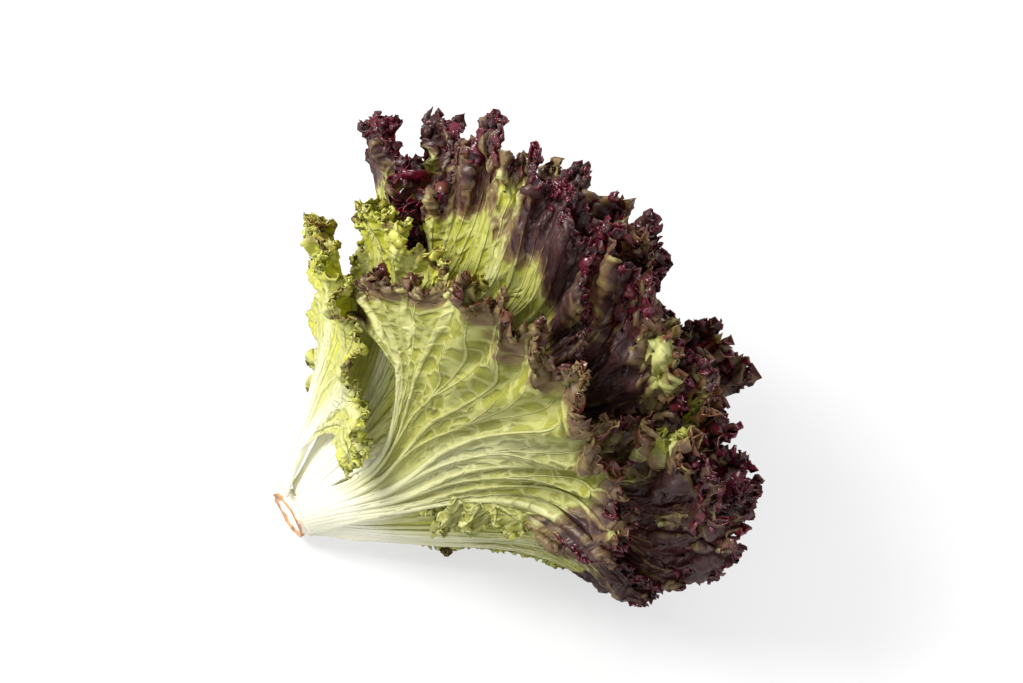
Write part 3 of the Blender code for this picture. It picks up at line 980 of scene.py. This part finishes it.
def leaf_materials():
    """The two leaf materials, made once."""
    if "leaf_back" not in bpy.data.materials:
        pattern = pattern_group()
        leaf_material("leaf_back", pattern, back=True)
        leaf_material("leaf_face", pattern, back=False)
    return [bpy.data.materials["leaf_back"], bpy.data.materials["leaf_face"]]


def colour_property(name, description, default):
    """A colour that a user may change."""
    return FloatVectorProperty(
        name=name, description=description, default=default, subtype="COLOR", size=3, min=0, max=1
    )


def length_property(name, description, default):
    """A length that a user may change."""
    return FloatProperty(name=name, description=description, default=default, min=0, unit="LENGTH")


class LettuceFrills(PropertyGroup):
    """The frills at the margins."""

    depth: length_property("Frill depth", "Distance from the margin where frills begin", 0.030)
    large_length: length_property("Large frill length", "Spacing of the large frills", 0.0160)
    large_swing: length_property("Large frill swing", "How far the large frills swing", 0.0040)
    middle_length: length_property("Middle frill length", "Spacing of the middle frills", 0.0056)
    middle_swing: length_property("Middle frill swing", "How far the middle frills swing", 0.0019)
    small_length: length_property("Small frill length", "Spacing of the small frills", 0.0025)
    small_swing: length_property("Small frill swing", "How far the small frills swing", 0.0013)
    fine_length: length_property("Fine frill length", "Spacing of the fine frills", 0.0012)
    fine_swing: length_property("Fine frill swing", "How far the fine frills swing", 0.00062)
    crinkle: length_property("Crinkle", "How far the frilled part is crinkled", 0.0012)
    crumple: length_property("Crumple", "How far the reddest leaves are crumpled", 0.0033)
    lobe: length_property("Lobe", "Half height of the margin's lobes", 0.0014)
    tooth: length_property("Tooth", "Height of the margin's teeth", 0.0027)
    tooth_spacing: length_property("Tooth spacing", "Spacing of the margin's teeth", 0.0018)
    vein_height: length_property("Vein height", "How far the veins stand out", 0.0016)
    blister: length_property("Blister", "How deep the blade is blistered between veins", 0.0022)


class LettuceBlade(PropertyGroup):
    """The thickness of the leaves."""

    thickness: length_property("Blade", "Thickness of a blade", 0.00045)
    rib: length_property("Rib", "What the midrib of an outermost leaf adds at its base", 0.0036)


class LettuceColours(PropertyGroup):
    """The colours of leaves, stem and table."""

    young_green: colour_property("Young green", "Green of the outer leaves", (0.62, 0.63, 0.055))
    deep_green: colour_property("Deep green", "Green of the grown blade", (0.160, 0.160, 0.032))
    vein: colour_property("Vein", "Pale green of the veins", (0.61, 0.605, 0.24))
    rib: colour_property("Rib", "Near white of the stalks", (0.90, 0.89, 0.74))
    brown_back: colour_property("Brown back", "Blush on the outer side", (0.23, 0.160, 0.068))
    brown_face: colour_property("Brown face", "Blush on the inner side", (0.17, 0.075, 0.030))
    wine_back: colour_property("Wine back", "Red of the outer side", (0.062, 0.032, 0.031))
    wine_face: colour_property("Wine face", "Red of the inner side", (0.130, 0.013, 0.030))
    glow_green: colour_property("Green glow", "Light through green blade", (0.62, 0.62, 0.09))
    glow_red: colour_property("Red glow", "Light through red blade", (0.46, 0.030, 0.055))
    flesh: colour_property("Flesh", "Cut flesh of the stem", (0.74, 0.67, 0.60))
    oxide: colour_property("Oxidised cut", "Orange brown of the cut's rim", (0.50, 0.25, 0.10))
    aged: colour_property("Aged cut", "Darkest brown of the cut's rim", (0.16, 0.055, 0.02))
    table: colour_property("Table", "The pale table", (0.22, 0.22, 0.225))


def power_property(name, description, default):
    """The power of a lamp that a user may change."""
    return FloatProperty(name=name, description=description, default=default, unit="POWER")


class LettuceStage(PropertyGroup):
    """The studio light."""

    key: power_property("Key light", "Power of the soft light", 43)
    side: power_property("Side light", "Power of the weaker light opposite", 12)
    front: power_property("Front light", "Power of the faint light in front", 6.5)
    fill: FloatProperty(
        name="Fill light", description="Strength of the light all round", default=0.55
    )
    table_glow: FloatProperty(name="Table glow", description="Own light of the table", default=0.64)


def stem_material():
    """Ivory flesh, with an oxidised rim round the cut."""
    colours = bpy.context.scene.lettuce_colours
    material = bpy.data.materials.new("stem_flesh")
    material.use_nodes = True
    tree = material.node_tree
    tree.nodes.clear()
    b = NodeBuilder(tree)
    place_on = b.add("ShaderNodeTexCoord").outputs["Object"]
    mottled = b.noise(place_on, 260.0, 4.0)
    grain = b.noise(place_on, 900.0, 2.0)
    worn = b.math("MULTIPLY_ADD", mottled, 1.3, b.math("SUBTRACT", b.attribute("rim"), 0.65))
    flesh = b.mix(b.math("MULTIPLY", grain, 0.5), (*colours.flesh, 1), (*colours.rib, 1))
    browned = b.mix(b.ease(worn, 0.30, 0.62), flesh, (*colours.oxide, 1))
    darker = b.mix(b.ease(worn, 0.85, 1.2), browned, (*colours.aged, 1))
    shader = b.add("ShaderNodeBsdfPrincipled")
    b.feed(shader.inputs["Base Color"], darker)
    b.feed(shader.inputs["Roughness"], b.ease(mottled, 0.3, 0.7, 0.35, 0.6))
    shader.inputs["Subsurface Weight"].default_value = 0.15
    shader.inputs["Subsurface Scale"].default_value = 0.003
    bump = b.add("ShaderNodeBump")
    bump.inputs["Strength"].default_value = 0.6
    bump.inputs["Distance"].default_value = 0.0008
    b.feed(bump.inputs["Height"], b.math("ADD", mottled, b.math("MULTIPLY", grain, 0.4)))
    b.feed(shader.inputs["Normal"], bump.outputs[0])
    b.add("ShaderNodeOutputMaterial", shader.outputs[0])
    return material


class LETTUCE_OT_stem(Operator):
    """Makes the core with its slanted, oxidised cut"""

    bl_idname = "lettuce.stem"
    bl_label = "Stem"

    def execute(self, context):
        bpy.ops.object.select_all(action="DESELECT")
        bpy.ops.mesh.primitive_cylinder_add(
            vertices=STEM_SIDES, radius=1, depth=1, location=(0, 0, 0), end_fill_type="TRIFAN"
        )
        piece = context.object
        piece.name = piece.data.name = "stem_cut"
        bpy.ops.object.mode_set(mode="EDIT")
        context.tool_settings.mesh_select_mode = (False, True, False)
        net = bmesh.from_edit_mesh(piece.data)
        bpy.ops.mesh.select_all(action="DESELECT")
        for edge in net.edges:
            if abs(edge.verts[0].co.z - edge.verts[1].co.z) > 0.5:
                edge.select_set(True)
        bpy.ops.mesh.subdivide(number_cuts=STEM_RINGS - 1)
        bpy.ops.mesh.select_all(action="DESELECT")
        for edge in net.edges:
            ends = [math.hypot(vert.co.x, vert.co.y) for vert in edge.verts]
            if min(ends) < 0.01 and edge.verts[0].co.z < -0.49:
                edge.select_set(True)
        bpy.ops.mesh.subdivide(number_cuts=CUT_RINGS - 1)
        bpy.ops.object.mode_set(mode="OBJECT")
        mesh = piece.data
        rim = np.zeros(len(mesh.vertices))
        for vert in mesh.vertices:
            x, y, z = vert.co
            share, angle = z + 0.5, math.atan2(y, x)
            out = math.hypot(x, y)
            s = share * STEM_LENGTH
            radius = out * float(core_radius(s))
            rough = float(patches(3, np.float64(angle * 4 + 20), np.float64(out * 5)))
            if share < 1e-6:
                s += CUT_DOME * (1 - out**4) + CUT_ROUGHNESS * rough
            rim[vert.index] = max(0.0, 1 - share * 22) * smooth((out - 0.50) / 0.42) + 0.16 * rough
            side_y, side_z = radius * math.cos(angle), radius * math.sin(angle)
            s -= math.tan(CUT_SLANT) * side_y * max(0.0, 1 - s / 0.02)
            point = place(np.float64(s), np.float64(radius), np.float64(math.atan2(side_z, side_y)))
            vert.co = point + ORIGIN
        write_values(mesh, "rim", rim)
        bpy.ops.object.mode_set(mode="EDIT")
        bpy.ops.mesh.select_all(action="SELECT")
        bpy.ops.mesh.normals_make_consistent(inside=False)
        bpy.ops.object.mode_set(mode="OBJECT")
        bpy.ops.object.shade_smooth_by_angle(angle=math.radians(50))
        mesh.materials.append(stem_material())
        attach(piece, "root")
        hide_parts("stem")
        return {"FINISHED"}


class LETTUCE_OT_outer_leaves(Operator):
    """Makes the leaves on the outside of the head"""

    bl_idname = "lettuce.outer_leaves"
    bl_label = "Outer leaves"

    def execute(self, context):
        for leaf in OUTER_LEAVES:
            make_leaf(leaf, leaf_materials())
        return {"FINISHED"}


class LETTUCE_OT_inner_leaves(Operator):
    """Makes the spiral of leaves down to the heart"""

    bl_idname = "lettuce.inner_leaves"
    bl_label = "Inner leaves"

    def execute(self, context):
        for leaf in INNER_LEAVES:
            make_leaf(leaf, leaf_materials())
        return {"FINISHED"}


def look_at(thing, back, target, distance):
    """Puts a lamp or camera at a distance from a target, facing it."""
    thing.location = target + back * distance
    thing.rotation_euler = back.to_track_quat("Z", "Y").to_euler()


def photo_camera():
    """The camera at the photo's angle and framing."""
    back = Vector(
        (
            math.sin(CAMERA_AZIMUTH) * math.cos(CAMERA_ELEVATION),
            -math.cos(CAMERA_AZIMUTH) * math.cos(CAMERA_ELEVATION),
            math.sin(CAMERA_ELEVATION),
        )
    )
    right = Vector((math.cos(CAMERA_AZIMUTH), math.sin(CAMERA_AZIMUTH), 0))
    up = back.cross(right)
    zero = np.float64(0)
    cut = Vector(place(zero, zero, zero) + ORIGIN)
    target = cut + right * (PHOTO_CENTRE[0] - PHOTO_CUT_CENTRE[0]) * PIXEL
    target += up * (PHOTO_CUT_CENTRE[1] - PHOTO_CENTRE[1]) * PIXEL
    lens = bpy.data.cameras.new("camera")
    lens.sensor_width = CAMERA_SENSOR
    lens.lens = CAMERA_LENS
    camera = bpy.data.objects.new("camera", lens)
    bpy.context.scene.collection.objects.link(camera)
    look_at(camera, back, target, CAMERA_DISTANCE)
    bpy.context.scene.camera = camera


def soft_lamp(name, direction, size, power, colour):
    """A square soft light aimed at the head."""
    light = bpy.data.lights.new(name, "AREA")
    light.energy = power
    light.size = size
    light.color = colour
    lamp = bpy.data.objects.new(name, light)
    bpy.context.scene.collection.objects.link(lamp)
    look_at(lamp, Vector(direction).normalized(), Vector(LAMP_TARGET), LAMP_DISTANCE)


class LETTUCE_OT_stage(Operator):
    """Makes the table, the soft light and the camera"""

    bl_idname = "lettuce.stage"
    bl_label = "Table, light and camera"

    def execute(self, context):
        stage, colours = context.scene.lettuce_stage, context.scene.lettuce_colours
        photo_camera()
        bpy.ops.object.select_all(action="DESELECT")
        bpy.ops.mesh.primitive_plane_add(size=12, location=(0, 0, 0))
        table = context.object
        table.name = "table"
        material = bpy.data.materials.new("table_white")
        material.use_nodes = True
        shader = material.node_tree.nodes["Principled BSDF"]
        shader.inputs["Base Color"].default_value = (*colours.table, 1)
        shader.inputs["Roughness"].default_value = 0.35
        shader.inputs["Specular IOR Level"].default_value = 0.25
        shader.inputs["Emission Color"].default_value = (1, 1, 1, 1)
        shader.inputs["Emission Strength"].default_value = stage.table_glow
        table.data.materials.append(material)
        for name, (direction, size, colour) in LAMPS.items():
            soft_lamp(name, direction, size, getattr(stage, name), colour)
        world = bpy.data.worlds.new("studio")
        world.use_nodes = True
        background = world.node_tree.nodes["Background"]
        background.inputs[0].default_value = SKY
        background.inputs[1].default_value = stage.fill
        context.scene.world = world
        context.scene.view_settings.view_transform = "Standard"
        return {"FINISHED"}


OPERATORS = (
    LETTUCE_OT_stage,
    LETTUCE_OT_stem,
    LETTUCE_OT_outer_leaves,
    LETTUCE_OT_inner_leaves,
)


SETTINGS = {
    "lettuce_frills": LettuceFrills,
    "lettuce_blade": LettuceBlade,
    "lettuce_colours": LettuceColours,
    "lettuce_stage": LettuceStage,
}


class LETTUCE_PT_panel(Panel):
    """Lists the steps and the values that they use"""

    bl_idname = "LETTUCE_PT_panel"
    bl_label = "Red leaf lettuce"
    bl_space_type = "VIEW_3D"
    bl_region_type = "UI"
    bl_category = "Lettuce"

    def draw(self, context):
        for step in OPERATORS:
            self.layout.operator(step.bl_idname)
        for name in SETTINGS:
            group = getattr(context.scene, name)
            box = self.layout.box()
            for key in group.bl_rna.properties.keys():
                if key not in ("rna_type", "name"):
                    box.prop(group, key)


def register():
    """Makes the settings, the operators and the panel known to Blender."""
    for group in (*SETTINGS.values(), *OPERATORS, LETTUCE_PT_panel):
        bpy.utils.register_class(group)
    for name, group in SETTINGS.items():
        setattr(bpy.types.Scene, name, PointerProperty(type=group))


def unregister():
    """Takes them away again."""
    for name in SETTINGS:
        delattr(bpy.types.Scene, name)
    for group in (LETTUCE_PT_panel, *OPERATORS, *SETTINGS.values()):
        bpy.utils.unregister_class(group)


def main():
    """Builds the scene step by step."""
    register()
    bpy.ops.lettuce.stage()
    bpy.ops.lettuce.stem()
    bpy.ops.lettuce.outer_leaves()
    bpy.ops.lettuce.inner_leaves()
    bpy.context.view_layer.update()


if __name__ == "__main__":
    main()
